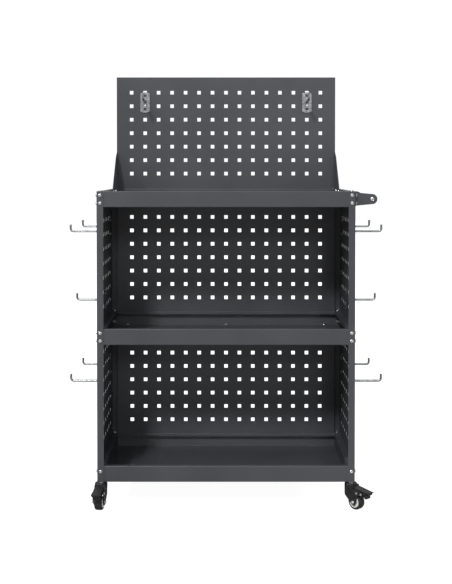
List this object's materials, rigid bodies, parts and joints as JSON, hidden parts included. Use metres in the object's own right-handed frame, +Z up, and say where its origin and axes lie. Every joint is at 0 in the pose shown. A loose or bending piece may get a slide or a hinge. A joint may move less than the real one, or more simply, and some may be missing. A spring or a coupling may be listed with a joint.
{
  "type": "pegboard display cart",
  "caption": "Wheeled display stand with rimmed trays, perforated back, sides and header board, J hooks, a side push handle and braked swivel casters.",
  "frame": {"origin": "on the ground under the middle of the cart", "axes": "+X to the right with the handle, +Y to the back where the header board stands, +Z up"},
  "size_m": [0.803, 0.4578, 1.115],
  "materials": {
    "grey_paint": "fine satin powder coat, dark grey",
    "bright_zinc": "bright zinc plate",
    "hook_zinc": "zinc plated wire and plate",
    "caster_black": "black satin",
    "tyre": "smooth black tread",
    "wheel_white": "off-white moulding"
  },
  "bodies": {
    "cart_frame": {"back_panel_lower": "grey_paint", "back_panel_upper": "grey_paint", "base_rail_left": "grey_paint", "base_rail_right": "grey_paint", "caster_stems": "bright_zinc", "frame_nuts": "bright_zinc", "handle_bolts": "bright_zinc", "handle_bracket_front": "grey_paint", "handle_bracket_rear": "grey_paint", "handle_grip": "grey_paint", "handle_plugs": "bright_zinc", "header_gusset_left": "grey_paint", "header_gusset_right": "grey_paint", "header_panel": "grey_paint", "hook_header_left": "hook_zinc", "hook_header_right": "hook_zinc", "hook_left_lower_front": "hook_zinc", "hook_left_lower_rear": "hook_zinc", "hook_left_upper_front": "hook_zinc", "hook_left_upper_low": "hook_zinc", "hook_left_upper_rear": "hook_zinc", "hook_right_lower_front": "hook_zinc", "hook_right_lower_rear": "hook_zinc", "hook_right_upper_front": "hook_zinc", "hook_right_upper_low": "hook_zinc", "hook_right_upper_rear": "hook_zinc", "panel_bolts": "bright_zinc", "post_bolts": "bright_zinc", "post_front_left": "grey_paint", "post_front_right": "grey_paint", "post_rear_left": "grey_paint", "post_rear_right": "grey_paint", "side_panel_lower_left": "grey_paint", "side_panel_lower_right": "grey_paint", "side_panel_upper_left": "grey_paint", "side_panel_upper_right": "grey_paint", "tray_bottom": "grey_paint", "tray_middle": "grey_paint", "tray_top": "grey_paint"},
    "caster_front_left_swivel": {"caster_front_left_fork": "caster_black", "caster_front_left_pins": "bright_zinc"},
    "caster_front_left_wheel": {"caster_front_left_hub": "wheel_white", "caster_front_left_tyre": "tyre"},
    "caster_front_left_brake": {"caster_front_left_pedal": "caster_black"},
    "caster_front_right_swivel": {"caster_front_right_fork": "caster_black", "caster_front_right_pins": "bright_zinc"},
    "caster_front_right_wheel": {"caster_front_right_hub": "wheel_white", "caster_front_right_tyre": "tyre"},
    "caster_front_right_brake": {"caster_front_right_pedal": "caster_black"},
    "caster_rear_left_swivel": {"caster_rear_left_fork": "caster_black", "caster_rear_left_pins": "bright_zinc"},
    "caster_rear_left_wheel": {"caster_rear_left_hub": "wheel_white", "caster_rear_left_tyre": "tyre"},
    "caster_rear_left_brake": {"caster_rear_left_pedal": "caster_black"},
    "caster_rear_right_swivel": {"caster_rear_right_fork": "caster_black", "caster_rear_right_pins": "bright_zinc"},
    "caster_rear_right_wheel": {"caster_rear_right_hub": "wheel_white", "caster_rear_right_tyre": "tyre"},
    "caster_rear_right_brake": {"caster_rear_right_pedal": "caster_black"}
  },
  "joints": [
    {"name": "front_left_swivel", "type": "hinge", "parent": "cart_frame", "child": "caster_front_left_swivel", "pos_m": [-0.316, -0.164, 0.06], "axis": [0, 0, 1], "continuous": true},
    {"name": "front_left_roll", "type": "hinge", "parent": "caster_front_left_swivel", "child": "caster_front_left_wheel", "pos_m": [-0.31819, -0.18187, 0.02], "axis": [0.9925, -0.1219, 0], "continuous": true},
    {"name": "front_left_brake", "type": "hinge", "parent": "caster_front_left_swivel", "child": "caster_front_left_brake", "pos_m": [-0.31941, -0.19179, 0.0445], "axis": [0.9925, -0.1219, 0], "range_deg": [0, 8]},
    {"name": "front_right_swivel", "type": "hinge", "parent": "cart_frame", "child": "caster_front_right_swivel", "pos_m": [0.316, -0.164, 0.06], "axis": [0, 0, 1], "continuous": true},
    {"name": "front_right_roll", "type": "hinge", "parent": "caster_front_right_swivel", "child": "caster_front_right_wheel", "pos_m": [0.32873, -0.17673, 0.02], "axis": [0.7071, 0.7071, 0], "continuous": true},
    {"name": "front_right_brake", "type": "hinge", "parent": "caster_front_right_swivel", "child": "caster_front_right_brake", "pos_m": [0.3358, -0.1838, 0.0445], "axis": [0.7071, 0.7071, 0], "range_deg": [0, 8]},
    {"name": "rear_left_swivel", "type": "hinge", "parent": "cart_frame", "child": "caster_rear_left_swivel", "pos_m": [-0.316, 0.164, 0.06], "axis": [0, 0, 1], "continuous": true},
    {"name": "rear_left_roll", "type": "hinge", "parent": "caster_rear_left_swivel", "child": "caster_rear_left_wheel", "pos_m": [-0.31819, 0.18187, 0.02], "axis": [-0.9925, -0.1219, 0], "continuous": true},
    {"name": "rear_left_brake", "type": "hinge", "parent": "caster_rear_left_swivel", "child": "caster_rear_left_brake", "pos_m": [-0.31941, 0.19179, 0.0445], "axis": [-0.9925, -0.1219, 0], "range_deg": [0, 8]},
    {"name": "rear_right_swivel", "type": "hinge", "parent": "cart_frame", "child": "caster_rear_right_swivel", "pos_m": [0.316, 0.164, 0.06], "axis": [0, 0, 1], "continuous": true},
    {"name": "rear_right_roll", "type": "hinge", "parent": "caster_rear_right_swivel", "child": "caster_rear_right_wheel", "pos_m": [0.32873, 0.17673, 0.02], "axis": [-0.7071, 0.7071, 0], "continuous": true},
    {"name": "rear_right_brake", "type": "hinge", "parent": "caster_rear_right_swivel", "child": "caster_rear_right_brake", "pos_m": [0.3358, 0.1838, 0.0445], "axis": [-0.7071, 0.7071, 0], "range_deg": [0, 8]}
  ]
}
